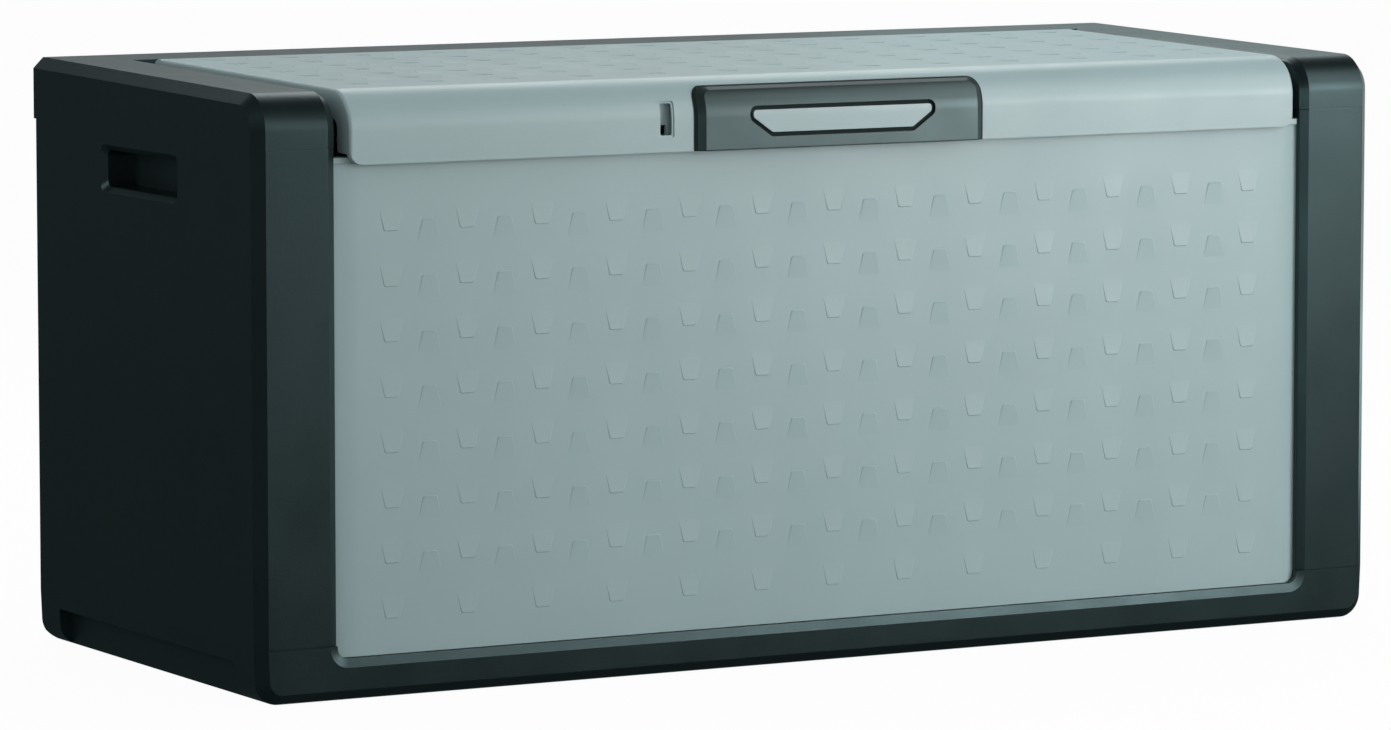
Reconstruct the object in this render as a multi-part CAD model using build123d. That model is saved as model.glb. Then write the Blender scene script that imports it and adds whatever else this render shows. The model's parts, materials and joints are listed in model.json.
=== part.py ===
from build123d import *
import os

# Deck storage box in millimetres: X runs along the front, the front is at -Y, Z is up.
# The origin is on the ground, under the middle of the overall box.

# Overall size
WIDTH = 1180.0
DEPTH = 490.0
FRAME_HEIGHT = 549.0
TOP_FALL = 8.0
GRIP_PROUD = 7.0
LIP_PROUD = 3.5
SKIRT_THICK = 5.0

# Moulding walls and gaps
WALL = 3.0
RIB = 2.5
SEAM = 0.2
MOVE_GAP = 0.5

# Corner posts, side panels and their edges
EDGE_CHAMFER = 10.0
ROLL_RADIUS = 33.0
POST_WIDTH = 71.0
POST_TAIL = 4.0
CAP_DEPTH = 57.0
BEVEL_WIDTH = 8.0
BEVEL_DEPTH = 5.0
BEVEL_TIP = 5.0
SIDE_THICK = 32.0
SIDE_LIP = 1.0
SIDE_BAYS = 5

# Base tray
BASE_HEIGHT = 49.5
BASE_DRAFT = 2.0
BASE_CORNER = 22.0
FOOT_CHAMFER = 9.5
FLOOR_TOP = 30.0
SILL_HEIGHT = 29.7
SILL_CORNER = 18.0
SILL_BEVEL_DEPTH = 2.2
RECESS_DEPTH = 13.0
RECESS_HEIGHT = 35.0
RECESS_LENGTH = 382.0
RECESS_MID_Y = 7.0
STOP_HEIGHT = 12.0
BASE_BAYS_X = 12
BASE_BAYS_Y = 4

# Front and back panels, front top rail
PANEL_THICK = 16.0
PANEL_PROUD = 3.5
PANEL_SOFT_EDGE = 26.0
PANEL_GAP = 0.5
PANEL_BAYS_X = 10
PANEL_BAYS_Z = 5
RAIL_LAP = 6.0
RAIL_HEIGHT = 5.5
RAIL_STEP = 1.0
RAIL_LEG = 28.0
BACK_LAP = 11.0

# Hand grips in the sides
GRIP_LENGTH = 166.0
GRIP_HEIGHT = 44.0
GRIP_BEVEL = 5.0
GRIP_DEPTH = 32.0
GRIP_CORNER = 7.0
GRIP_MID_Y = 10.5
GRIP_DROP = 36.0
GRIP_RIM = 8.0
GRIP_RIM_THICK = 7.0

# Top frame
REAR_RAIL_WIDTH = 66.0
GUTTER_DEPTH = 38.0
GUTTER_WIDTH = 27.0
GUTTER_BACK = 45.0
GUTTER_WALL = 8.0
REST_LENGTH = 20.0
REST_SETBACK = 30.0

# Lid
LID_SIDE_GAP = 12.0
LID_RISE = 1.4
LID_ROLL_RADIUS = 36.0
LID_EDGE_RADIUS = 3.0
LID_WALL_DEPTH = 26.0
LID_RIB_DEPTH = 16.0
LID_BAYS_X = 11
LID_BAYS_Y = 4
LIP_DROP = 64.0
LIP_CORNER = 13.0
LIP_HEM = 8.0

# Hinge
HINGE_GAP = 3.5
BARREL_RADIUS = 14.0
PIN_RADIUS = 6.0
PIN_RUN = 0.06
PIN_FIT = 0.02
PIN_HEAD_RADIUS = 9.0
PIN_HEAD = 3.0
PIN_BOSS = 14.0
PIN_BEARING = 28.0

# Lid grip and its inlay
HANDLE_HALF = 152.5
HANDLE_DROP = 7.0
HANDLE_CORNER = 12.0
HANDLE_BEVEL_CORNER = 16.0
HANDLE_BEVEL_SIDE = 9.0
HANDLE_BEVEL_DEPTH = 6.0
HANDLE_TOP_TRIM = 3.2
INLAY_TOP_HALF = 94.0
INLAY_LOW_HALF = 74.0
INLAY_RISE = 15.0
INLAY_HEIGHT = 20.5
INLAY_CUT = 14.0
INLAY_CORNER = 3.0
INLAY_GROOVE = 4.0
INLAY_DEPTH = 3.0
INLAY_SINK = 0.4

# Padlock slot in the lip and the tab behind it
LOCK_X = -180.8
LOCK_RISE = 29.5
LOCK_WIDTH = 16.0
LOCK_HEIGHT = 33.0
LOCK_BORDER = 2.0
LOCK_STEP = 1.2
TAB_WIDTH = 32.0
TAB_HOLE = 9.0

# Screws
SCREW_RADIUS = 2.0
SCREW_LENGTH = 14.0
SCREW_HEAD_RADIUS = 3.8
SCREW_HEAD = 2.4
SCREW_FIT = 0.05
SCREW_BOSS = 6.0
SIDE_SCREW_END = 70.0
GRIP_SCREW_LENGTH = 8.0
GRIP_SCREW_PITCH = 80.0

# How far a cutter runs past the face that it cuts
PAST = 1.0

# Places that follow from the sizes above, across the box
HALF = WIDTH / 2
ARM_OUT = HALF - EDGE_CHAMFER
ARM_IN = HALF - POST_WIDTH
ARM_WALL = ARM_IN - BEVEL_WIDTH
SIDE_IN = HALF - SIDE_THICK
PANEL_HALF = ARM_IN - SEAM
FACE_HALF = ARM_WALL - PANEL_GAP
LID_HALF = ARM_WALL - LID_SIDE_GAP
SCREW_X = (SIDE_IN + ARM_IN) / 2

# From front to back
FRONT_Y = -DEPTH / 2 + GRIP_PROUD + LIP_PROUD
REAR_Y = DEPTH / 2 - SKIRT_THICK
MID_Y = (FRONT_Y + REAR_Y) / 2
LIP_Y = FRONT_Y - LIP_PROUD
TIP_Y = FRONT_Y + BEVEL_DEPTH + BEVEL_TIP
PANEL_RIM_Y = TIP_Y + SEAM
PANEL_Y = PANEL_RIM_Y - PANEL_PROUD
PANEL_BACK = PANEL_Y + PANEL_THICK
POST_BACK = PANEL_BACK + SEAM + WALL + POST_TAIL
SIDE_LAND = EDGE_CHAMFER + SIDE_LIP
SIDE_SCREW_Y = FRONT_Y + (WALL + SEAM + SIDE_LAND) / 2
SCREW_Y = (FRONT_Y + POST_BACK) / 2
RAIL_FRONT_Y = DEPTH / 2 - REAR_RAIL_WIDTH
HINGE_Y = RAIL_FRONT_Y - HINGE_GAP - BARREL_RADIUS

# From the ground up
FRONT_TOP = FRAME_HEIGHT - TOP_FALL
POST_TOP = FRAME_HEIGHT - CAP_DEPTH
BACK_TOP = POST_TOP + BACK_LAP
GRIP_MID_Z = POST_TOP - GRIP_DROP
LIP_BOTTOM = FRONT_TOP - LIP_DROP
RAIL_TOP = LIP_BOTTOM + RAIL_LAP
PANEL_TOP = RAIL_TOP - RAIL_HEIGHT
FACE_FOOT = SILL_HEIGHT + BEVEL_WIDTH + PANEL_GAP
HANDLE_TOP = FRONT_TOP + LID_RISE - HANDLE_DROP
INLAY_LOW = LIP_BOTTOM + INLAY_RISE
LOCK_MID_Z = LIP_BOTTOM + LOCK_RISE
TAB_TOP = LOCK_MID_Z + LOCK_HEIGHT / 2 - LOCK_BORDER


def top_z(y):
    return FRAME_HEIGHT - TOP_FALL * (REAR_Y - y) / (REAR_Y - FRONT_Y)


HINGE_Z = top_z(HINGE_Y) + LID_RISE - BARREL_RADIUS


# Shared shapes

def block(x0, x1, y0, y1, z0, z1):
    middle = Pos((x0 + x1) / 2, (y0 + y1) / 2, (z0 + z1) / 2)
    return middle * Box(abs(x1 - x0), abs(y1 - y0), abs(z1 - z0))


def along_x(face, x0, x1):
    return extrude(Plane.YZ.offset(x0) * face, amount=x1 - x0)


def along_y(face, y0, y1):
    return extrude(Plane.XZ.offset(-y1) * face, amount=y1 - y0)


def rod_x(radius, x0, x1, y, z):
    return Pos((x0 + x1) / 2, y, z) * Rot(0, 90, 0) * Cylinder(radius, abs(x1 - x0))


def rod_y(radius, y0, y1, x, z):
    return Pos(x, (y0 + y1) / 2, z) * Rot(90, 0, 0) * Cylinder(radius, abs(y1 - y0))


def rod_z(radius, z0, z1, x, y):
    return Pos(x, y, (z0 + z1) / 2) * Cylinder(radius, abs(z1 - z0))


def both_sides(shape):
    return [shape, mirror(shape, about=Plane.YZ)]


def to_rear(shape):
    return mirror(shape, about=Plane.XZ.offset(-MID_Y))


def rear_of(y):
    return FRONT_Y + REAR_Y - y


def spans(low, high, count):
    pitch = (high - low + RIB) / count
    return [(low + i * pitch, low + (i + 1) * pitch - RIB) for i in range(count)]


def rolled_outline(front_y, rear_y, bottom_z, lift, radius):
    nose = (front_y, top_z(front_y) + lift)
    corners = [(front_y, bottom_z), nose, (rear_y, top_z(rear_y) + lift), (rear_y, bottom_z)]
    face = make_face(Polyline(*corners, close=True))
    return fillet(face.vertices().sort_by_distance((*nose, 0))[0], radius)


def frame_outline(inset, rear_y, bottom_z):
    return rolled_outline(FRONT_Y + inset, rear_y, bottom_z, -inset, ROLL_RADIUS - inset)


def lid_outline(inset, bottom_z, rear_y=HINGE_Y):
    return rolled_outline(LIP_Y + inset, rear_y, bottom_z, LID_RISE - inset, LID_ROLL_RADIUS - inset)


def sloped_band(y0, y1, low, high):
    corners = [(y0, top_z(y0) + low), (y1, top_z(y1) + low), (y1, top_z(y1) + high), (y0, top_z(y0) + high)]
    return make_face(Polyline(*corners, close=True))


# Base tray

def sill_outline(inset, high=BASE_HEIGHT + SILL_CORNER):
    half = ARM_IN - inset
    low = SILL_HEIGHT + inset
    face = make_face(Polyline((-half, low), (half, low), (half, high), (-half, high), close=True))
    return fillet(face.vertices().group_by(Axis.Y)[0], SILL_CORNER - inset)


def sill_notch():
    outer = Plane.XZ.offset(-(FRONT_Y - SILL_BEVEL_DEPTH)) * sill_outline(-BEVEL_WIDTH)
    inner = Plane.XZ.offset(-(FRONT_Y + SILL_BEVEL_DEPTH)) * sill_outline(BEVEL_WIDTH)
    mouth = loft([outer.face(), inner.face()], ruled=True)
    return mouth + along_y(sill_outline(BEVEL_WIDTH), FRONT_Y + SILL_BEVEL_DEPTH, PANEL_RIM_Y)


def base_outline(inset, lift):
    low_half = HALF - BASE_DRAFT - inset
    half = HALF - inset
    face = make_face(Polyline(
        (-low_half, lift), (low_half, lift), (half, BASE_HEIGHT), (-half, BASE_HEIGHT), close=True))
    return fillet(face.vertices().group_by(Axis.Y)[0], BASE_CORNER - inset)


def base_block():
    """The outer form of the tray. One chamfer runs round its front, also round the lower corners."""
    edge_y = FRONT_Y + EDGE_CHAMFER
    front = Plane.XZ.offset(-FRONT_Y) * base_outline(EDGE_CHAMFER, FOOT_CHAMFER)
    edge = Plane.XZ.offset(-edge_y) * base_outline(0, 0)
    body = loft([front.face(), edge.face()], ruled=True) + along_y(base_outline(0, 0), edge_y, REAR_Y)
    side = make_face(Polyline(
        (FRONT_Y, 0), (REAR_Y - FOOT_CHAMFER, 0), (REAR_Y, FOOT_CHAMFER),
        (REAR_Y, BASE_HEIGHT), (FRONT_Y, BASE_HEIGHT), close=True))
    return body & along_x(side, -HALF, HALF)


def base_tray():
    tray = base_block()
    tray -= block(-SIDE_IN, SIDE_IN, POST_BACK, rear_of(POST_BACK), FLOOR_TOP, BASE_HEIGHT)
    tray -= block(-ARM_IN, ARM_IN, TIP_Y, rear_of(TIP_Y), FLOOR_TOP, BASE_HEIGHT)
    notch = sill_notch()
    tray -= [notch, to_rear(notch)]
    recess = block(-HALF, -HALF + RECESS_DEPTH, RECESS_MID_Y - RECESS_LENGTH / 2,
                   RECESS_MID_Y + RECESS_LENGTH / 2, 0, RECESS_HEIGHT)
    tray -= both_sides(recess)
    cell_x = HALF - RECESS_DEPTH - WALL
    cell_y = EDGE_CHAMFER + WALL
    cells = [
        block(x0, x1, y0, y1, 0, FLOOR_TOP - WALL)
        for x0, x1 in spans(-cell_x, cell_x, BASE_BAYS_X)
        for y0, y1 in spans(FRONT_Y + cell_y, REAR_Y - cell_y, BASE_BAYS_Y)
    ]
    tray -= cells
    stop = block(-ARM_WALL, ARM_WALL, PANEL_BACK + SEAM, PANEL_BACK + SEAM + WALL,
                 FLOOR_TOP - WALL, FLOOR_TOP + STOP_HEIGHT)
    tray += [stop, to_rear(stop)]
    hole = rod_z(SCREW_RADIUS + SCREW_FIT, BASE_HEIGHT - SCREW_LENGTH, BASE_HEIGHT, -SCREW_X, SCREW_Y)
    return tray - [shape for end in (hole, to_rear(hole)) for shape in both_sides(end)]


# Side panels with their hand grips

def grip_outline(inset):
    return Pos(GRIP_MID_Y, GRIP_MID_Z) * RectangleRounded(
        GRIP_LENGTH - 2 * inset, GRIP_HEIGHT - 2 * inset, GRIP_CORNER)


def side_screw_holes(radius):
    low = BASE_HEIGHT + SIDE_SCREW_END
    high = POST_TOP - SIDE_SCREW_END
    tip = -SIDE_IN - SCREW_LENGTH + WALL
    seat = -SIDE_IN + WALL + SEAM
    front = [rod_x(radius, tip, seat, SIDE_SCREW_Y, z) for z in (low, (low + high) / 2, high)]
    return front + [to_rear(hole) for hole in front]


def side_panel():
    outline = frame_outline(0, REAR_Y, BASE_HEIGHT)
    panel = along_x(outline, -HALF, -SIDE_IN)
    rim = panel.faces().sort_by(Axis.X)[0].edges()
    rim = [e for e in rim if e.center().Z > BASE_HEIGHT + PAST and e.center().Y < REAR_Y - PAST]
    panel = chamfer(rim, EDGE_CHAMFER)
    keep = frame_outline(WALL + SEAM, REAR_Y - WALL - SEAM, BASE_HEIGHT - PAST)
    rebate = along_x(frame_outline(-PAST, REAR_Y + PAST, BASE_HEIGHT - PAST), -ARM_OUT, -SIDE_IN + PAST)
    panel -= rebate - along_x(keep, -ARM_OUT - PAST, -SIDE_IN + 2 * PAST)
    inner = frame_outline(SIDE_LAND, REAR_Y - SIDE_LAND, BASE_HEIGHT + WALL)
    inner = along_x(inner, -HALF + WALL, -SIDE_IN)
    cells = [
        block(-HALF + WALL, -SIDE_IN, y0, y1, z0, z1)
        for y0, y1 in spans(FRONT_Y + SIDE_LAND, REAR_Y - SIDE_LAND, SIDE_BAYS)
        for z0, z1 in spans(BASE_HEIGHT + WALL, FRAME_HEIGHT - SIDE_LAND, SIDE_BAYS)
    ]
    panel -= inner & Compound(children=[cell.solid() for cell in cells])
    cup_room = along_x(grip_outline(-GRIP_RIM - SEAM), -HALF + WALL, -SIDE_IN)
    panel -= cup_room
    panel += along_x(grip_outline(-GRIP_RIM), -HALF + WALL / 2, -HALF + GRIP_RIM_THICK)
    mouth = Plane.YZ.offset(-HALF) * grip_outline(0)
    throat = Plane.YZ.offset(-HALF + GRIP_BEVEL) * grip_outline(GRIP_BEVEL)
    panel -= loft([mouth.face(), throat.face()], ruled=True)
    panel -= along_x(grip_outline(GRIP_BEVEL), -HALF + GRIP_BEVEL, -HALF + GRIP_RIM_THICK)
    return panel - side_screw_holes(SCREW_RADIUS + SCREW_FIT)


def grip_cup():
    front = -HALF + GRIP_RIM_THICK + SEAM
    back = -HALF + GRIP_DEPTH
    cup = along_x(grip_outline(GRIP_BEVEL - WALL), front, back + WALL)
    cup += along_x(grip_outline(-GRIP_RIM + SEAM), front, front + WALL)
    return cup - along_x(grip_outline(GRIP_BEVEL), front, back)


# Corner posts

def post():
    shape = block(-ARM_OUT + SEAM, -ARM_IN, FRONT_Y, FRONT_Y + WALL, BASE_HEIGHT, POST_TOP)
    lip = make_face(Polyline(
        (-ARM_IN, FRONT_Y), (-ARM_WALL, FRONT_Y + BEVEL_DEPTH),
        (-ARM_WALL, TIP_Y), (-ARM_IN, TIP_Y), close=True))
    shape += Pos(0, 0, BASE_HEIGHT) * extrude(lip, amount=POST_TOP - BASE_HEIGHT)
    shape += block(-ARM_IN - WALL, -ARM_IN, FRONT_Y, POST_BACK, BASE_HEIGHT, POST_TOP)
    stop_y = PANEL_BACK + SEAM
    shape += block(-ARM_IN - WALL, -ARM_WALL, stop_y, stop_y + WALL, BASE_HEIGHT, POST_TOP)
    leg = -SIDE_IN + SEAM
    shape += block(leg, leg + WALL, FRONT_Y, POST_BACK, BASE_HEIGHT, POST_TOP)
    for low in (BASE_HEIGHT, POST_TOP - WALL):
        shape += block(leg, -ARM_IN, FRONT_Y, POST_BACK, low, low + WALL)
    shape -= rod_z(SCREW_RADIUS + SCREW_FIT, BASE_HEIGHT, POST_TOP, -SCREW_X, SCREW_Y)
    return shape - side_screw_holes(SCREW_RADIUS + SCREW_FIT)


# Front and back panels and the front top rail

def panel_face(top):
    """The proud face of a panel, which falls away softly to its sides."""
    flat = FACE_HALF - PANEL_SOFT_EDGE
    plan = make_face(Curve() + [
        TangentArc((flat, PANEL_Y), (FACE_HALF, PANEL_RIM_Y), tangent=(1, 0)),
        Polyline((FACE_HALF, PANEL_RIM_Y), (FACE_HALF, PANEL_BACK),
                 (-FACE_HALF, PANEL_BACK), (-FACE_HALF, PANEL_RIM_Y)),
        TangentArc((-flat, PANEL_Y), (-FACE_HALF, PANEL_RIM_Y), tangent=(-1, 0)),
        Line((-flat, PANEL_Y), (flat, PANEL_Y))])
    face = Pos(0, 0, FACE_FOOT) * extrude(plan, amount=top - FACE_FOOT)
    return face & along_y(sill_outline(BEVEL_WIDTH + PANEL_GAP, top), PANEL_Y, PANEL_BACK)


def wall_panel(top, face_top):
    face = panel_face(face_top)
    panel = block(-PANEL_HALF, PANEL_HALF, PANEL_RIM_Y, PANEL_BACK, FLOOR_TOP + SEAM, top) + face
    cells = [
        block(x0, x1, PANEL_Y, PANEL_BACK, z0, z1)
        for x0, x1 in spans(WALL - FACE_HALF, FACE_HALF - WALL, PANEL_BAYS_X)
        for z0, z1 in spans(FACE_FOOT + WALL, face_top - WALL, PANEL_BAYS_Z)
    ]
    room = Pos(0, WALL, 0) * face
    return panel - (room & Compound(children=[cell.solid() for cell in cells]))


def lock_tab():
    x0 = LOCK_X - TAB_WIDTH / 2
    tab_y = PANEL_Y + SEAM
    foot = PANEL_TOP + SEAM
    tab = block(x0, x0 + TAB_WIDTH, tab_y, tab_y + WALL, foot, TAB_TOP)
    gusset = make_face(Polyline(
        (tab_y + WALL, foot), (PANEL_BACK, foot), (tab_y + WALL, TAB_TOP), close=True))
    tab += along_x(gusset, x0, x0 + WALL)
    tab += along_x(gusset, x0 + TAB_WIDTH - WALL, x0 + TAB_WIDTH)
    low = LOCK_MID_Z - LOCK_HEIGHT / 2 + LOCK_BORDER
    hole_x = LOCK_X - TAB_HOLE / 2
    return tab - block(hole_x, hole_x + TAB_HOLE, tab_y - PAST, tab_y + WALL + PAST, low, low + TAB_HOLE)


def front_top_rail():
    leg_y = PANEL_BACK + SEAM
    leg_half = ARM_WALL - SEAM
    rail = block(-PANEL_HALF, PANEL_HALF, PANEL_RIM_Y, PANEL_BACK, PANEL_TOP + SEAM, RAIL_TOP)
    rail += block(-FACE_HALF, FACE_HALF, PANEL_Y + RAIL_STEP, PANEL_BACK, PANEL_TOP + SEAM, RAIL_TOP)
    rail += block(-leg_half, leg_half, PANEL_BACK - PAST, leg_y + WALL, PANEL_TOP + SEAM, RAIL_TOP)
    rail += block(-leg_half, leg_half, leg_y, leg_y + WALL, RAIL_TOP - RAIL_LEG, RAIL_TOP)
    return rail + lock_tab()


# Top frame: two arms and a rear rail in one moulding, with a rain gutter inside

def frame_skin():
    outline = frame_outline(0, REAR_Y, POST_TOP)
    arm = along_x(outline, -ARM_OUT + SEAM, -ARM_IN)
    edge = Plane.YZ.offset(-ARM_IN) * outline
    low = Plane.YZ.offset(-ARM_WALL) * frame_outline(BEVEL_DEPTH, REAR_Y, POST_TOP)
    arm += loft([edge.face(), low.face()], ruled=True)
    rail = along_x(outline, -ARM_IN, ARM_IN)
    rail &= block(-ARM_IN, ARM_IN, RAIL_FRONT_Y, REAR_Y, POST_TOP, FRAME_HEIGHT + WALL)
    hollow = along_x(frame_outline(WALL, REAR_Y, POST_TOP - PAST), -HALF, HALF)
    inner = ARM_WALL + WALL
    hollow -= block(-inner, inner, FRONT_Y - PAST, RAIL_FRONT_Y + WALL, POST_TOP - 2 * PAST, FRAME_HEIGHT)
    return Part() + both_sides(arm) + rail - hollow


def rear_skirt():
    high = top_z(REAR_Y)
    face = make_face(Polyline(
        (-HALF, POST_TOP), (HALF, POST_TOP), (HALF, high - EDGE_CHAMFER), (ARM_OUT, high),
        (-ARM_OUT, high), (-HALF, high - EDGE_CHAMFER), close=True))
    skirt = along_y(face, REAR_Y, REAR_Y + SKIRT_THICK)
    return skirt + block(-ARM_IN, ARM_IN, rear_of(TIP_Y), REAR_Y + WALL, POST_TOP, POST_TOP + WALL)


def gutter():
    floor = -GUTTER_DEPTH
    inner = ARM_WALL - GUTTER_WIDTH
    back = RAIL_FRONT_Y - GUTTER_BACK
    outer = ARM_WALL + WALL
    rail_y = RAIL_FRONT_Y + WALL
    low = floor - WALL
    high = floor + GUTTER_WALL
    side = along_x(sloped_band(POST_BACK, rail_y, low, floor), -outer, -inner)
    side += along_x(sloped_band(POST_BACK, back + WALL, low, high), -inner - WALL, -inner)
    rest_y = POST_BACK + REST_SETBACK
    rest = sloped_band(rest_y, rest_y + REST_LENGTH, low, LID_RISE - LID_WALL_DEPTH - MOVE_GAP)
    side += along_x(rest, -LID_HALF - WALL, -LID_HALF + 2 * WALL)
    rear = along_x(sloped_band(back, rail_y, low, floor), -outer, outer)
    rear += along_x(sloped_band(back, back + WALL, low, high), -inner, inner)
    return both_sides(side) + [rear]


def top_frame():
    frame = frame_skin() + rear_skirt() + gutter()
    under = along_x(frame_outline(WALL / 2, REAR_Y, POST_TOP), -HALF, HALF)
    boss = under & rod_z(SCREW_BOSS, POST_TOP, FRAME_HEIGHT, -SCREW_X, SCREW_Y)
    rear_boss = under & to_rear(rod_z(SCREW_BOSS, POST_TOP, FRAME_HEIGHT, -SCREW_X, SCREW_Y))
    pivot = rod_x(PIN_HEAD_RADIUS + WALL, -ARM_WALL - PIN_BOSS, -ARM_WALL - WALL / 2, HINGE_Y, HINGE_Z)
    frame += both_sides(boss) + both_sides(rear_boss) + both_sides(under & pivot)
    hole = rod_z(SCREW_RADIUS + SCREW_FIT, POST_TOP, POST_TOP + SCREW_LENGTH, -SCREW_X, SCREW_Y)
    bore = rod_x(PIN_RADIUS + PIN_FIT, -ARM_WALL - PIN_BOSS, -ARM_WALL, HINGE_Y, HINGE_Z)
    return frame - both_sides(hole) - both_sides(to_rear(hole)) - both_sides(bore)


# Lid with its rolled front and hinge barrel

def lid_front(inset):
    half = LID_HALF - inset
    face = make_face(Polyline(
        (-half, LIP_BOTTOM + inset), (half, LIP_BOTTOM + inset),
        (half, FRAME_HEIGHT + WALL), (-half, FRAME_HEIGHT + WALL), close=True))
    return fillet(face.vertices().group_by(Axis.Y)[0], LIP_CORNER - inset)


def lid_ribs():
    room = along_x(lid_outline(WALL / 2, LIP_BOTTOM), -LID_HALF + WALL, LID_HALF - WALL)
    room -= along_x(lid_outline(LID_RIB_DEPTH, 0, HINGE_Y + PAST), -LID_HALF, LID_HALF)
    low = LIP_BOTTOM + LID_ROLL_RADIUS
    high = FRAME_HEIGHT + WALL
    edge = LID_HALF - WALL
    cross = [x1 for x0, x1 in spans(-edge, edge, LID_BAYS_X)][:-1]
    along = [y1 for y0, y1 in spans(LIP_Y + LID_ROLL_RADIUS, HINGE_Y, LID_BAYS_Y)][:-1]
    ribs = [block(x, x + RIB, LIP_Y, HINGE_Y, low, high) for x in cross]
    ribs += [block(-edge, edge, y, y + RIB, low, high) for y in along]
    grid = Part() + ribs
    half = TAB_WIDTH / 2 + WALL
    grid -= block(LOCK_X - half, LOCK_X + half, LIP_Y, PANEL_BACK + WALL, LIP_BOTTOM, TAB_TOP + WALL)
    return grid & room


def lid_barrel():
    barrel = rod_x(BARREL_RADIUS, -LID_HALF, LID_HALF, HINGE_Y, HINGE_Z)
    tunnel = LID_HALF - PIN_BEARING
    barrel -= rod_x(BARREL_RADIUS - WALL, -tunnel, tunnel, HINGE_Y, HINGE_Z)
    return barrel - rod_x(PIN_RADIUS + PIN_RUN, -LID_HALF, LID_HALF, HINGE_Y, HINGE_Z)


def lock_outline(inset):
    return Pos(LOCK_X, LOCK_MID_Z) * RectangleRounded(
        LOCK_WIDTH - 2 * inset, LOCK_HEIGHT - 2 * inset, LOCK_BORDER)


def lid_shell():
    shell = along_x(lid_outline(0, LIP_BOTTOM), -LID_HALF, LID_HALF)
    ends = [e for e in shell.edges() if abs(e.center().X) > LID_HALF - PAST]
    ends = [e for e in ends if e.center().Y < HINGE_Y - PAST and e.center().Z > LIP_BOTTOM + PAST]
    shell = fillet(ends, LID_EDGE_RADIUS)
    shell &= along_y(lid_front(0), LIP_Y - PAST, HINGE_Y + PAST)
    hollow = along_x(lid_outline(WALL, LIP_BOTTOM - PAST, HINGE_Y + PAST), -LID_HALF, LID_HALF)
    shell -= hollow & along_y(lid_front(WALL), LIP_Y - PAST, HINGE_Y + PAST)
    shell -= along_x(lid_outline(LIP_HEM, 0, HINGE_Y + PAST), -HALF, HALF) & block(
        -HALF, HALF, LIP_Y, HINGE_Y, 0, RAIL_TOP + MOVE_GAP + WALL)
    shell -= along_x(lid_outline(LID_WALL_DEPTH, 0, HINGE_Y + PAST), -HALF, HALF)
    shell -= rod_x(BARREL_RADIUS - WALL / 2, -HALF, HALF, HINGE_Y, HINGE_Z)
    shell += [lid_ribs() - rod_x(BARREL_RADIUS - WALL / 2, -HALF, HALF, HINGE_Y, HINGE_Z), lid_barrel()]
    border = along_x(lid_outline(-WALL, LIP_BOTTOM), -LID_HALF, LID_HALF)
    border -= along_x(lid_outline(LOCK_STEP, 0, HINGE_Y + PAST), -HALF, HALF)
    shell -= border & along_y(lock_outline(0), LIP_Y - WALL, HINGE_Y)
    shell -= along_y(lock_outline(LOCK_BORDER), LIP_Y - WALL, PANEL_Y)
    return shell - grip_screw_shapes(SCREW_FIT, 0)


# Lid grip with its inlay

def lid_layer(low, high, half):
    outer = along_x(lid_outline(-high, LIP_BOTTOM), -half, half)
    return outer - along_x(lid_outline(-low, LIP_BOTTOM - PAST, HINGE_Y + PAST), -half - PAST, half + PAST)


def inlay_outline(grow):
    low = INLAY_LOW
    side = low + INLAY_CUT
    high = low + INLAY_HEIGHT
    face = make_face(Polyline(
        (-INLAY_LOW_HALF, low), (INLAY_LOW_HALF, low), (INLAY_TOP_HALF, side), (INLAY_TOP_HALF, high),
        (-INLAY_TOP_HALF, high), (-INLAY_TOP_HALF, side), close=True))
    face = fillet(face.vertices(), INLAY_CORNER)
    return offset(face, amount=grow) if grow else face


def handle_prism(top, corner):
    face = make_face(Polyline(
        (-HANDLE_HALF, LIP_BOTTOM), (HANDLE_HALF, LIP_BOTTOM),
        (HANDLE_HALF, top), (-HANDLE_HALF, top), close=True))
    face = fillet(face.vertices().group_by(Axis.Y)[-1], corner)
    return along_y(face, LIP_Y - 2 * GRIP_PROUD, HINGE_Y - PAST)


def handle_blank():
    """A plate over the rolled lip, bevelled all round and then trimmed to a narrower bevel at its top."""
    blank = lid_layer(SEAM / 2, GRIP_PROUD, HANDLE_HALF)
    blank &= handle_prism(HANDLE_TOP + HANDLE_TOP_TRIM, HANDLE_BEVEL_CORNER)
    front = blank.faces().sort_by(Axis.Y)[0]
    roll = blank.faces().filter_by(GeomType.CYLINDER).sort_by(SortBy.AREA)[-2:].sort_by(Axis.Y)[0]
    rim = [e for e in front.edges() + roll.edges() if e.bounding_box().size.X < HANDLE_HALF]
    rim.append(roll.edges().sort_by(Axis.Z)[-1])
    return chamfer(rim, HANDLE_BEVEL_DEPTH, HANDLE_BEVEL_SIDE) & handle_prism(HANDLE_TOP, HANDLE_CORNER)


def lid_handle():
    recess = lid_layer(GRIP_PROUD - INLAY_DEPTH, 2 * GRIP_PROUD, HANDLE_HALF)
    recess &= along_y(inlay_outline(INLAY_GROOVE), LIP_Y - 3 * GRIP_PROUD, HINGE_Y - PAST)
    return handle_blank() - recess - grip_screw_shapes(SCREW_FIT, 0)


def handle_inlay():
    plate = lid_layer(GRIP_PROUD - INLAY_DEPTH + SEAM / 2, GRIP_PROUD - INLAY_SINK, HANDLE_HALF)
    return plate & along_y(inlay_outline(0), LIP_Y - 3 * GRIP_PROUD, HINGE_Y - PAST)


# Fasteners and hinge pins

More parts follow.
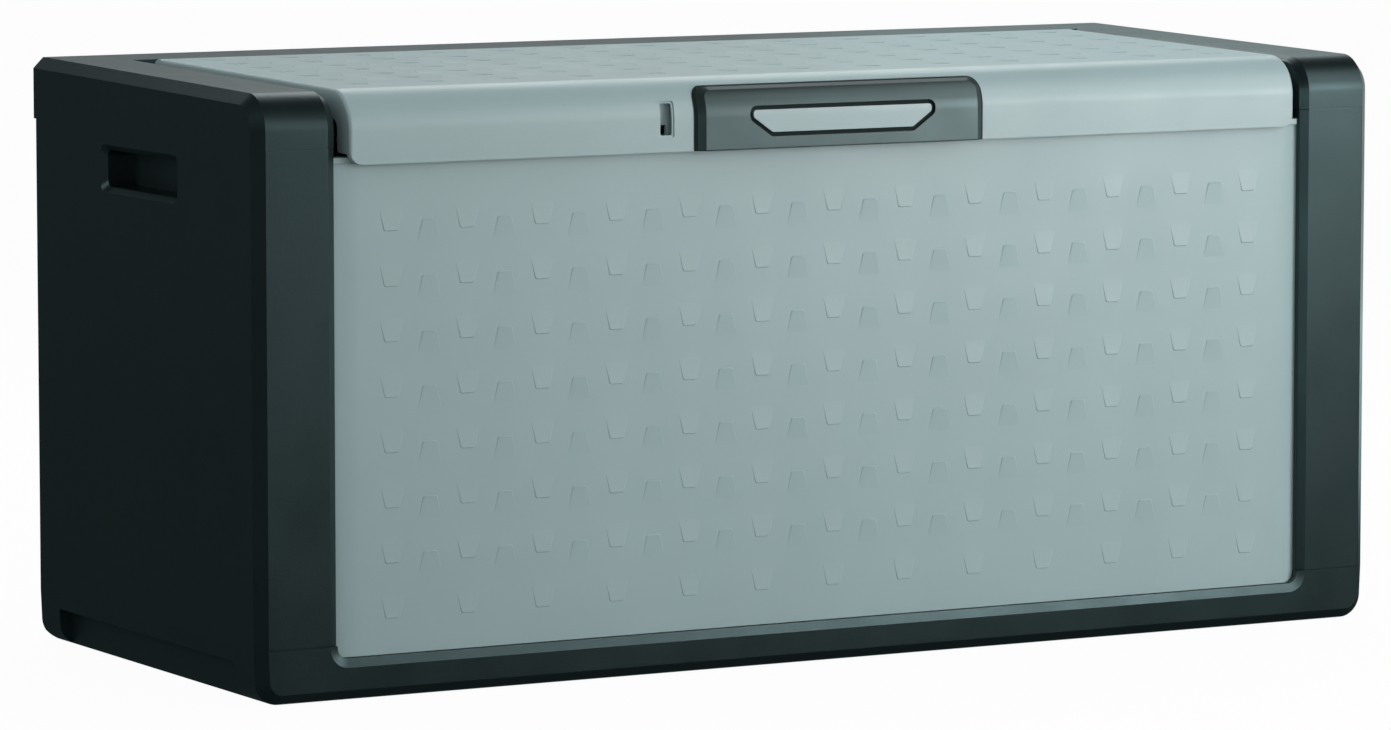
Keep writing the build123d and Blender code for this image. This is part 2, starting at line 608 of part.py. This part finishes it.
def grip_screw_shapes(fit, head):
    seat = LIP_Y + WALL
    z = LIP_BOTTOM + LIP_HEM
    shapes = []
    for step in (-1.5, -0.5, 0.5, 1.5):
        x = step * GRIP_SCREW_PITCH
        screw = rod_y(SCREW_RADIUS + fit, seat - GRIP_SCREW_LENGTH, seat, x, z)
        if head:
            screw += rod_y(SCREW_HEAD_RADIUS, seat, seat + head, x, z)
        shapes.append(screw)
    return shapes


def frame_screws():
    low = BASE_HEIGHT + WALL
    high = POST_TOP - WALL
    foot = rod_z(SCREW_RADIUS, low - SCREW_LENGTH, low, -SCREW_X, SCREW_Y)
    foot += rod_z(SCREW_HEAD_RADIUS, low, low + SCREW_HEAD, -SCREW_X, SCREW_Y)
    cap = rod_z(SCREW_RADIUS, high, high + SCREW_LENGTH, -SCREW_X, SCREW_Y)
    cap += rod_z(SCREW_HEAD_RADIUS, high - SCREW_HEAD, high, -SCREW_X, SCREW_Y)
    upright = [foot, cap, to_rear(foot), to_rear(cap)]
    seat = -SIDE_IN + WALL + SEAM
    heads = []
    for shank in side_screw_holes(SCREW_RADIUS):
        middle = shank.center()
        heads.append(shank + rod_x(SCREW_HEAD_RADIUS, seat, seat + SCREW_HEAD, middle.Y, middle.Z))
    return [shape for screw in upright + heads for shape in both_sides(screw)]


def hinge_pin():
    outer = -ARM_WALL - PIN_BOSS - SEAM
    pin = rod_x(PIN_RADIUS, outer, -LID_HALF + PIN_BEARING, HINGE_Y, HINGE_Z)
    return pin + rod_x(PIN_HEAD_RADIUS, outer - PIN_HEAD, outer, HINGE_Y, HINGE_Z)


# Write one file for each piece

def save(name, shape):
    solids = shape if isinstance(shape, list) else [shape]
    solids = [solid for piece in solids for solid in piece.solids()]
    export_step(solids[0] if len(solids) == 1 else Compound(children=solids), f"parts/{name}.step")


def save_pair(name, shape):
    save(f"left_{name}", shape)
    save(f"right_{name}", mirror(shape, about=Plane.YZ))


def main():
    os.makedirs("parts", exist_ok=True)
    save("base_tray", base_tray())
    save_pair("side_panel", side_panel())
    save_pair("grip_cup", grip_cup())
    save_pair("front_post", post())
    save_pair("rear_post", to_rear(post()))
    save("front_panel", wall_panel(PANEL_TOP, PANEL_TOP))
    save("back_panel", to_rear(wall_panel(BACK_TOP, POST_TOP - PANEL_GAP)))
    save("front_top_rail", front_top_rail())
    save("top_frame", top_frame())
    save("frame_screws", frame_screws())
    save_pair("hinge_pin", hinge_pin())
    save("lid_shell", lid_shell())
    save("lid_handle", lid_handle())
    save("handle_inlay", handle_inlay())
    save("handle_screws", grip_screw_shapes(0, SCREW_HEAD))


main()
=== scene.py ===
import json
import math

import bmesh
import bpy
from mathutils import Matrix, Vector


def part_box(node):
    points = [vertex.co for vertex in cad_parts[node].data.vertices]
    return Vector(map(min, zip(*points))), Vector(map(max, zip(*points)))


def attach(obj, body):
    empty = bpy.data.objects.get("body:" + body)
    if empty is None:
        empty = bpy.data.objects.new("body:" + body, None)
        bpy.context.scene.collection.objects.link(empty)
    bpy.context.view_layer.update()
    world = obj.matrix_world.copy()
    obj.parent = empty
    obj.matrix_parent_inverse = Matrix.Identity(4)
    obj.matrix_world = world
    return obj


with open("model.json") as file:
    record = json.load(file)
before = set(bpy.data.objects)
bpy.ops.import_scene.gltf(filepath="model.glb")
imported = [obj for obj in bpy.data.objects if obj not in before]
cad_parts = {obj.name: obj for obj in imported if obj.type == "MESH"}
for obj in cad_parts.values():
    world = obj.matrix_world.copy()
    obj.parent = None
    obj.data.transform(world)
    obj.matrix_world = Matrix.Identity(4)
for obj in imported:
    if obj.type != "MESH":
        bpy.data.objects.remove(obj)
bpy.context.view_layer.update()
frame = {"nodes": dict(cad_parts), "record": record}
nodes = frame["nodes"]
MM = 0.001

# Camera: where it stands, how far it is turned from the box's depth axis, how far it looks down
CAMERA_PLACE = (-3.2059, -5.7309, 0.9507)
CAMERA_YAW = 29.08
CAMERA_PITCH = 6.07
LENS = 180.2
SENSOR = 36.0

# Relief of small wedges on the pale mouldings, in a staggered grid
WEDGE_WIDE = 23.0 * MM
WEDGE_NARROW = 13.0 * MM
WEDGE_LENGTH = 20.0 * MM
WEDGE_RISE = 0.65 * MM
WEDGE_ROUND = 2.2 * MM
WEDGE_DRAFT = 0.9 * MM
WEDGE_SINK = 0.3 * MM
WEDGE_ARC_STEPS = 4
GRID_ACROSS = 75.7 * MM
GRID_ALONG = 49.5 * MM
GRID_COLUMNS = 13
GRID_SHIFT = 12.0 * MM
PANEL_ROWS = 8
PANEL_TOP_ROW = 40.5 * MM
LID_ROWS = 7
LID_FRONT_ROW = 66.7 * MM

# Colours of the mouldings, as linear light
PALE = (0.41, 0.56, 0.575)
DARK = (0.0075, 0.0118, 0.0125)
DARK_GLOSS = (0.62, 0.93, 0.96)
GRIP_GREY = (0.021, 0.029, 0.030)
GRIP_GLOSS = (0.86, 1.16, 1.17)
PLAIN_GLOSS = (1.0, 1.0, 1.0)

# Texture of the mouldings: faint clouds, patches of gloss and shallow waves
CLOUD_SIZE = 160.0 * MM
GLOSS_SIZE = 50.0 * MM
GLOSS_SPREAD = 0.04
WAVE_SIZE = 90.0 * MM
WAVE_DEPTH = 0.05 * MM

# Zinc plated steel of the screws
STEEL = (0.42, 0.43, 0.44)
STEEL_SHADE = (0.85, 1.1)
STEEL_ROUGHNESS = (0.28, 0.45)
TURNING_SIZE = 0.6 * MM
TURNING_DEPTH = 0.03 * MM

# Painted shade on the lid grip: how dark and how rough it makes the grip's groove, edges and seam
PAINTED_SHADE_LEVEL = 0.15
PAINTED_SHADE_ROUGHNESS = 0.9

# Groove around the inlay of the lid grip, painted in shade where it lies deep enough: how deep, and
# how far beyond the inlay
GROOVE_DEEP = 1.3 * MM
GROOVE_WIDE = 4.5 * MM

# Seam where the lid grip meets the lid, which is rolled at the front, and a band along the grip's
# outer edges, both painted as a shadow line
SEAM_RISE = 2.6 * MM
SEAM_EDGE = 0.9 * MM
LID_ROLL = 36.0 * MM

# Softened edges of the mouldings
EDGE_ROUND = 0.8 * MM
EDGE_ANGLE = 12.0
WELD_GAP = 0.01 * MM

# How much of the floor is plain white to the rays that show it, and how pale the rest is
FLOOR_SIZE = 60.0
FLOOR_WHITE = 0.965
FLOOR_SEEN = 0.9
FLOOR_LIT = 0.2
FLOOR_ROUGHNESS = 0.9

# Stage pieces that only reflections show: their tint, how they are turned, how they clear the floor
CARD_TINT = (0.70, 1.0, 1.02)
UPRIGHT = (math.pi / 2, 0, 0)
FLAT = (0, 0, 0)
SLANTED = (0, 0, math.radians(60))
CARD_LIFT = 1.0 * MM
TENT_LIFT = 0.5 * MM

# What the lamps are aimed at
FRONT = (0.1, -0.23, 0.3)
UPPER_FRONT = (0.2, -0.23, 0.2)
LOW_FRONT = (0, -0.2, 0.3)
MIDDLE = (0, 0, 0.3)
MIDDLE_TOP = (0, 0, 0.5)
RIGHT_END = (0.5, 0, 0.3)


# Node helpers

class Finish:
    """A material whose nodes are added and linked by short calls."""

    def __init__(self, name):
        self.material = bpy.data.materials.new(name)
        self.material.use_nodes = True
        self.tree = self.material.node_tree
        self.shader = self.tree.nodes["Principled BSDF"]
        self.place = self.add("ShaderNodeTexCoord").outputs["Object"]

    def add(self, kind, **settings):
        node = self.tree.nodes.new(kind)
        for key, value in settings.items():
            setattr(node, key, value)
        return node

    def link(self, source, target):
        self.tree.links.new(source, target)

    def axes(self):
        node = self.add("ShaderNodeSeparateXYZ")
        self.link(self.place, node.inputs["Vector"])
        return node.outputs["X"], node.outputs["Y"], node.outputs["Z"]

    def noise(self, size, detail=2.0, roughness=0.5):
        node = self.add("ShaderNodeTexNoise")
        node.inputs["Scale"].default_value = 1.0 / size
        node.inputs["Detail"].default_value = detail
        node.inputs["Roughness"].default_value = roughness
        self.link(self.place, node.inputs["Vector"])
        return node.outputs["Fac"]

    def range(self, value, low, high, start=0.3, end=0.7):
        node = self.add("ShaderNodeMapRange")
        self.link(value, node.inputs["Value"])
        node.inputs["From Min"].default_value = start
        node.inputs["From Max"].default_value = end
        node.inputs["To Min"].default_value = low
        node.inputs["To Max"].default_value = high
        return node.outputs["Result"]

    def scaled(self, colour, factor):
        node = self.add("ShaderNodeVectorMath", operation="SCALE")
        node.inputs[0].default_value = colour
        self.link(factor, node.inputs["Scale"])
        return node.outputs["Vector"]

    def maths(self, operation, value, *numbers):
        node = self.add("ShaderNodeMath", operation=operation)
        self.link(value, node.inputs[0])
        for socket, number in zip(node.inputs[1:], numbers):
            socket.default_value = number
        return node.outputs["Value"]

    def join(self, operation, first, second):
        node = self.add("ShaderNodeMath", operation=operation)
        self.link(first, node.inputs[0])
        self.link(second, node.inputs[1])
        return node.outputs["Value"]

    def times(self, first, second):
        return self.join("MULTIPLY", first, second)

    def sum(self, first, second):
        return self.join("ADD", first, second)

    def larger(self, first, second):
        return self.join("MAXIMUM", first, second)

    def bump(self, height, depth, under=None):
        node = self.add("ShaderNodeBump")
        node.inputs["Strength"].default_value = 1.0
        node.inputs["Distance"].default_value = depth
        self.link(height, node.inputs["Height"])
        if under:
            self.link(under, node.inputs["Normal"])
        return node.outputs["Normal"]


# Places taken from the frame

def box_middle(name):
    """The middle of a node's box and how far the box reaches from it."""
    low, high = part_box(name)
    return (low + high) / 2, (high - low) / 2


def lid_plane():
    """A point on the lid's top and the direction out of it."""
    mount = next(m for m in frame["record"]["mounts"] if m["name"] == "lid_top")
    return Vector(mount["pos_m"]), Vector(mount["axis"])


# Finishes

def resin(name, colour, roughness, grain, grain_depth, mottle=0.05, speckle=0.06, specular=0.5,
          gloss=PLAIN_GLOSS, painted_shade=None):
    """Moulded plastic: a fine pitted grain, faint clouding and slightly uneven gloss. Where a mask
    is given, the colour is darkened and made rougher there as painted shade.
    """
    finish = Finish(name)
    shader = finish.shader
    clouds = finish.range(finish.noise(CLOUD_SIZE, 3.0), 1.0 - mottle, 1.0 + mottle)
    pits = finish.noise(grain, 3.0, 0.6)
    shade = finish.times(clouds, finish.range(pits, 1.0 - speckle, 1.0 + speckle))
    patches = finish.noise(GLOSS_SIZE, 4.0)
    rough = finish.range(patches, roughness - GLOSS_SPREAD, roughness + GLOSS_SPREAD)
    # Painted shade: darker and rougher where the mask marks hollows and edge lines
    if painted_shade:
        shade_mask = painted_shade(finish)
        shade = finish.times(shade, finish.range(shade_mask, 1.0, PAINTED_SHADE_LEVEL, 0.0, 1.0))
        rough = finish.larger(rough, finish.range(shade_mask, 0.0, PAINTED_SHADE_ROUGHNESS, 0.0, 1.0))
    finish.link(finish.scaled(colour, shade), shader.inputs["Base Color"])
    finish.link(rough, shader.inputs["Roughness"])
    waves = finish.bump(finish.noise(WAVE_SIZE, 1.0), WAVE_DEPTH)
    finish.link(finish.bump(pits, grain_depth, waves), shader.inputs["Normal"])
    shader.inputs["Specular IOR Level"].default_value = specular
    shader.inputs["Specular Tint"].default_value = (*gloss, 1.0)
    return finish.material


def inlay_groove_shade(finish):
    """Paints shade into the groove around the inlay in the lid grip, where its surface lies deep
    enough.
    """
    middle, reach = box_middle("handle_inlay")
    x, y, z = finish.axes()
    deep = finish.maths("GREATER_THAN", y, middle.y - reach.y + GROOVE_DEEP)
    across = finish.maths("COMPARE", x, middle.x, reach.x + GROOVE_WIDE)
    upright = finish.maths("COMPARE", z, middle.z, reach.z + GROOVE_WIDE)
    return finish.times(deep, finish.times(across, upright))


def grip_seam_shadow(finish):
    """Paints a shadow line along the outer edges of the lid grip and where it stands least above the
    rolled lid.
    """
    place, out = lid_plane()
    roll_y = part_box("lid_shell")[0].y + LID_ROLL
    roll_z = place.z - (out.y * (roll_y - place.y) + LID_ROLL) / out.z
    x, y, z = finish.axes()
    ahead = finish.maths("MINIMUM", finish.maths("SUBTRACT", y, roll_y), 0.0)
    above = finish.maths("MAXIMUM", finish.maths("SUBTRACT", z, roll_z), 0.0)
    rise = finish.maths("SQRT", finish.sum(finish.times(ahead, ahead), finish.times(above, above)))
    near = finish.maths("LESS_THAN", rise, LID_ROLL + SEAM_RISE)
    middle, reach = box_middle("lid_handle")
    across = finish.maths("COMPARE", x, middle.x, reach.x - SEAM_EDGE)
    upright = finish.maths("COMPARE", z, middle.z, reach.z - SEAM_EDGE)
    edge = finish.maths("LESS_THAN", finish.times(across, upright), 0.5)
    return finish.larger(edge, near)


def grip_painted_shade(finish):
    """Painted shade in both the groove and the seam of the lid grip."""
    return finish.larger(inlay_groove_shade(finish), grip_seam_shadow(finish))


def steel(name):
    """Zinc plated screw steel with a fine turned texture."""
    finish = Finish(name)
    shader = finish.shader
    marks = finish.noise(TURNING_SIZE, 4.0)
    finish.link(finish.scaled(STEEL, finish.range(marks, *STEEL_SHADE)), shader.inputs["Base Color"])
    finish.link(finish.range(marks, *STEEL_ROUGHNESS), shader.inputs["Roughness"])
    finish.link(finish.bump(marks, TURNING_DEPTH), shader.inputs["Normal"])
    shader.inputs["Metallic"].default_value = 1.0
    return finish.material


pale_resin = resin("pale_resin", PALE, roughness=0.38, grain=0.9 * MM, grain_depth=0.05 * MM,
                   mottle=0.02, speckle=0.02, specular=0.95)
dark_resin = resin("dark_resin", DARK, roughness=0.36, grain=1.2 * MM, grain_depth=0.10 * MM,
                   speckle=0.12, specular=0.875, gloss=DARK_GLOSS)
# The grip's groove, outer edges and seam get painted shade
grip_resin = resin("grip_resin", GRIP_GREY, roughness=0.33, grain=0.8 * MM, grain_depth=0.04 * MM,
                   mottle=0.03, speckle=0.05, specular=1.0, gloss=GRIP_GLOSS, painted_shade=grip_painted_shade)
pin_resin = resin("pin_resin", DARK, roughness=0.35, grain=0.6 * MM, grain_depth=0.02 * MM)
screw_steel = steel("screw_steel")

PALE_NODES = ("front_panel", "back_panel", "front_top_rail", "lid_shell", "handle_inlay")
STEEL_NODES = ("frame_screws", "handle_screws")
PIN_NODES = ("left_hinge_pin", "right_hinge_pin")


def node_finish(name):
    if name in PALE_NODES:
        return pale_resin
    if name in STEEL_NODES:
        return screw_steel
    if name in PIN_NODES:
        return pin_resin
    return grip_resin if name == "lid_handle" else dark_resin


def smooth_shading():
    """A node group that shades every face smoothly."""
    group = bpy.data.node_groups.new("smooth_shading", "GeometryNodeTree")
    group.interface.new_socket("Geometry", in_out="INPUT", socket_type="NodeSocketGeometry")
    group.interface.new_socket("Geometry", in_out="OUTPUT", socket_type="NodeSocketGeometry")
    start = group.nodes.new("NodeGroupInput")
    smooth = group.nodes.new("GeometryNodeSetShadeSmooth")
    end = group.nodes.new("NodeGroupOutput")
    group.links.new(start.outputs["Geometry"], smooth.inputs["Geometry"])
    group.links.new(smooth.outputs["Geometry"], end.inputs["Geometry"])
    return group


def soften(piece, shading):
    """Joins the shading splits, rounds every sharp edge a little and shades by the larger faces."""
    weld = piece.modifiers.new("weld", "WELD")
    weld.merge_threshold = WELD_GAP
    bevel = piece.modifiers.new("edges", "BEVEL")
    bevel.width = EDGE_ROUND
    bevel.segments = 2
    bevel.limit_method = "ANGLE"
    bevel.angle_limit = math.radians(EDGE_ANGLE)
    bevel.use_clamp_overlap = True
    smooth = piece.modifiers.new("smooth", "NODES")
    smooth.node_group = shading
    piece.modifiers.new("normals", "WEIGHTED_NORMAL")


shading = smooth_shading()
for name, node in nodes.items():
    node.data.materials.clear()
    node.data.materials.append(node_finish(name))
    if name not in STEEL_NODES + PIN_NODES:
        soften(node, shading)


# Relief of the pale mouldings

def wedge_outline(grow):
    """Half the outline from the wide end to the narrow end, with the narrow corner rounded."""
    wide = WEDGE_WIDE / 2 + grow
    narrow = WEDGE_NARROW / 2 + grow
    end = WEDGE_LENGTH + grow
    slant = math.atan2(wide - narrow, end)
    turn = math.pi / 2 - slant
    reach = WEDGE_ROUND * math.tan(turn / 2)
    centre = Vector((narrow - reach, end - WEDGE_ROUND))
    points = [Vector((wide, -grow))]
    for step in range(WEDGE_ARC_STEPS + 1):
        angle = slant + turn * step / WEDGE_ARC_STEPS
        points.append(centre + WEDGE_ROUND * Vector((math.cos(angle), math.sin(angle))))
    return points


def ring(grow, rise):
    """The whole outline, each point lifted by how far along the wedge it lies."""
    half = wedge_outline(grow)
    outline = half + [Vector((-p.x, p.y)) for p in reversed(half)]
    return [Vector((p.x, p.y, rise(p.y))) for p in outline]


def add_wedge(mesh, place):
    """One closed wedge: flush at its wide end, standing proud at its narrow end."""
    foot = [mesh.verts.new(place @ p) for p in ring(WEDGE_DRAFT, lambda along: -WEDGE_SINK)]
    top = ring(0.0, lambda along: WEDGE_RISE * along / WEDGE_LENGTH)
    top = [mesh.verts.new(place @ p) for p in top]
    count = len(foot)
    for i in range(count):
        j = (i + 1) % count
        mesh.faces.new((foot[i], foot[j], top[j], top[i]))
    mesh.faces.new(top)
    mesh.faces.new(list(reversed(foot)))


def relief(name, body, face, rows):
    """Wedges in a staggered grid on a face. Its axes are across, along and out of the surface."""
    mesh = bmesh.new()
    half_turn = Matrix.Rotation(math.pi, 4, "Z")
    first = -GRID_ACROSS * (GRID_COLUMNS - 1) / 2
    for row in range(rows):
        for column in range(GRID_COLUMNS):
            across = first + column * GRID_ACROSS
            along = row * GRID_ALONG
            add_wedge(mesh, face @ Matrix.Translation((across, along, 0)))
            if row < rows - 1 and column < GRID_COLUMNS - 1:
                between = (across + GRID_ACROSS / 2, along + GRID_SHIFT + WEDGE_LENGTH, 0)
                add_wedge(mesh, face @ Matrix.Translation(between) @ half_turn)
    bmesh.ops.recalc_face_normals(mesh, faces=mesh.faces)
    data = bpy.data.meshes.new(name)
    mesh.to_mesh(data)
    mesh.free()
    data.materials.append(pale_resin)
    piece = bpy.data.objects.new(name, data)
    bpy.context.scene.collection.objects.link(piece)
    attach(piece, body)


def face_frame(origin, across, along, out):
    """A matrix from a face's own axes to the box's frame."""
    columns = Matrix((across, along, out)).transposed().to_4x4()
    return Matrix.Translation(origin) @ columns


RIGHT = Vector((1, 0, 0))
BACK = Vector((0, 1, 0))
DOWN = Vector((0, 0, -1))

panel_low, panel_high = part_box("front_panel")
panel_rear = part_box("back_panel")[1].y
row_top = panel_high.z - PANEL_TOP_ROW
front_face = face_frame(Vector((0, panel_low.y, row_top)), RIGHT, DOWN, -BACK)
back_face = face_frame(Vector((0, panel_rear, row_top)), -RIGHT, DOWN, BACK)

lid_place, lid_out = lid_plane()
lid_along = lid_out.cross(RIGHT).normalized()
lid_along = lid_along if lid_along.y < 0 else -lid_along
front_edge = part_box("lid_shell")[0].y + LID_FRONT_ROW
lid_start = front_edge + (LID_ROWS - 1) * GRID_ALONG + WEDGE_LENGTH
lid_face = face_frame(lid_place - lid_along * lid_start, RIGHT, lid_along, lid_out)

relief("front_panel_relief", "box", front_face, PANEL_ROWS)
relief("back_panel_relief", "box", back_face, PANEL_ROWS)
relief("lid_relief", "lid", lid_face, LID_ROWS)


# Floor, light and camera

def seen_rays(tree, other, seen):
    """One value for rays that show the backdrop, another for rays that only carry light."""
    rays = tree.nodes.new("ShaderNodeLightPath")
    shown = rays.outputs["Is Camera Ray"]
    for ray in ("Is Glossy Ray", "Is Transmission Ray"):
        either = tree.nodes.new("ShaderNodeMath")
        either.operation = "MAXIMUM"
        tree.links.new(shown, either.inputs[0])
        tree.links.new(rays.outputs[ray], either.inputs[1])
        shown = either.outputs["Value"]
    value = tree.nodes.new("ShaderNodeMapRange")
    tree.links.new(shown, value.inputs["Value"])
    value.inputs["To Min"].default_value = other
    value.inputs["To Max"].default_value = seen
    return value.outputs["Result"]


def stage_floor():
    """A wide floor, nearly plain white where it is seen, that keeps the box's shadow."""
    bpy.ops.mesh.primitive_plane_add(size=FLOOR_SIZE, location=(0, 0, 0))
    floor = bpy.context.object
    floor.name = "floor"
    finish = Finish("floor_white")
    tree = finish.tree
    finish.link(seen_rays(tree, FLOOR_LIT, FLOOR_SEEN), finish.shader.inputs["Base Color"])
    finish.shader.inputs["Roughness"].default_value = FLOOR_ROUGHNESS
    glow = finish.add("ShaderNodeEmission")
    glow.inputs["Strength"].default_value = 1.0
    mix = finish.add("ShaderNodeMixShader")
    finish.link(seen_rays(tree, 0.0, FLOOR_WHITE), mix.inputs["Fac"])
    finish.link(finish.shader.outputs["BSDF"], mix.inputs[1])
    finish.link(glow.outputs["Emission"], mix.inputs[2])
    finish.link(mix.outputs["Shader"], tree.nodes["Material Output"].inputs["Surface"])
    floor.data.materials.append(finish.material)


def reflection_only(piece, tone):
    """A stage piece that only reflections show, to set the tone of what the box mirrors."""
    piece.visible_camera = False
    piece.visible_diffuse = False
    piece.visible_shadow = False
    piece.visible_transmission = False
    finish = Finish(piece.name)
    glow = finish.add("ShaderNodeEmission")
    glow.inputs["Color"].default_value = (*CARD_TINT, 1.0)
    glow.inputs["Strength"].default_value = tone
    finish.link(glow.outputs["Emission"], finish.tree.nodes["Material Output"].inputs["Surface"])
    piece.data.materials.append(finish.material)


def dark_tent(side, height, tone):
    """Dark walls, floor and ceiling all around."""
    bpy.ops.mesh.primitive_cube_add(size=1.0, location=(0, 0, height / 2 + TENT_LIFT))
    tent = bpy.context.object
    tent.name = "dark_tent"
    tent.scale = (side, side, height)
    reflection_only(tent, tone)


def card(name, place, turn, width, height, tone):
    """A paler flat card: upright for the tops to mirror, on the ground for the upright bevels."""
    bpy.ops.mesh.primitive_plane_add(size=1.0, location=place, rotation=turn)
    piece = bpy.context.object
    piece.name = name
    piece.scale = (width, height, 1.0)
    reflection_only(piece, tone)


def softbox(name, place, aim, width, height, power):
    """A rectangular area lamp that the camera doesn't see."""
    light = bpy.data.lights.new(name, "AREA")
    light.shape = "RECTANGLE"
    light.size = width
    light.size_y = height
    light.energy = power
    lamp = bpy.data.objects.new(name, light)
    lamp.location = place
    lamp.rotation_euler = (Vector(aim) - Vector(place)).to_track_quat("-Z", "Y").to_euler()
    lamp.visible_camera = False
    bpy.context.scene.collection.objects.link(lamp)


def studio_world(ambient):
    """A white backdrop that lights the box only as strongly as the ambient level says."""
    world = bpy.data.worlds.new("studio")
    bpy.context.scene.world = world
    world.use_nodes = True
    tree = world.node_tree
    backdrop = tree.nodes["Background"]
    tree.links.new(seen_rays(tree, ambient, 1.0), backdrop.inputs["Strength"])
    backdrop.inputs["Color"].default_value = (1.0, 1.0, 1.0, 1.0)


def photo_camera():
    data = bpy.data.cameras.new("camera")
    data.lens = LENS
    data.sensor_width = SENSOR
    data.sensor_fit = "HORIZONTAL"
    data.clip_end = 100.0
    camera = bpy.data.objects.new("camera", data)
    camera.location = CAMERA_PLACE
    camera.rotation_euler = (math.radians(90 - CAMERA_PITCH), 0, math.radians(-CAMERA_YAW))
    bpy.context.scene.collection.objects.link(camera)
    bpy.context.scene.camera = camera


stage_floor()
studio_world(0.42)
dark_tent(8.0, 3.5, 0.05)
card("back_card_left", (0.3, 2.8, 1.2), UPRIGHT, 2.9, 2.4, 0.12)
card("back_card_right", (2.875, 2.8, 1.2), UPRIGHT, 2.25, 2.4, 0.40)
card("floor_card_left", (-1.35, -3.43, CARD_LIFT), SLANTED, 3.8, 0.7, 3.2)
card("floor_card_right", (2.6, 0.4, CARD_LIFT), FLAT, 2.4, 2.6, 1.3)
softbox("key", (1.5, -1.88, 0.74), FRONT, 0.75, 0.6, 7.0)
softbox("key_wide", (1.3, -1.95, 0.95), FRONT, 1.8, 1.4, 9.8)
softbox("key_low", (1.1, -1.9, 0.36), FRONT, 0.5, 0.4, 1.5)
softbox("kicker", (1.4, -1.35, 1.75), UPPER_FRONT, 1.1, 0.9, 4.6)
softbox("top", (0.65, 1.95, 2.3), MIDDLE_TOP, 3.0, 2.2, 21.5)
softbox("top_right", (1.1, 1.4, 2.0), MIDDLE_TOP, 1.4, 1.0, 4.0)
softbox("fill", (0.2, -3.5, 1.0), MIDDLE, 2.0, 1.5, 5.0)
softbox("glint", (-1.4, -3.75, 0.5), LOW_FRONT, 0.35, 0.35, 4.0)
softbox("side", (-2.6, 0.3, 1.0), MIDDLE, 1.4, 1.2, 8.0)
softbox("rim", (2.4, 0.8, 0.6), RIGHT_END, 1.0, 1.2, 3.0)
photo_camera()
bpy.context.scene.view_settings.view_transform = "Standard"
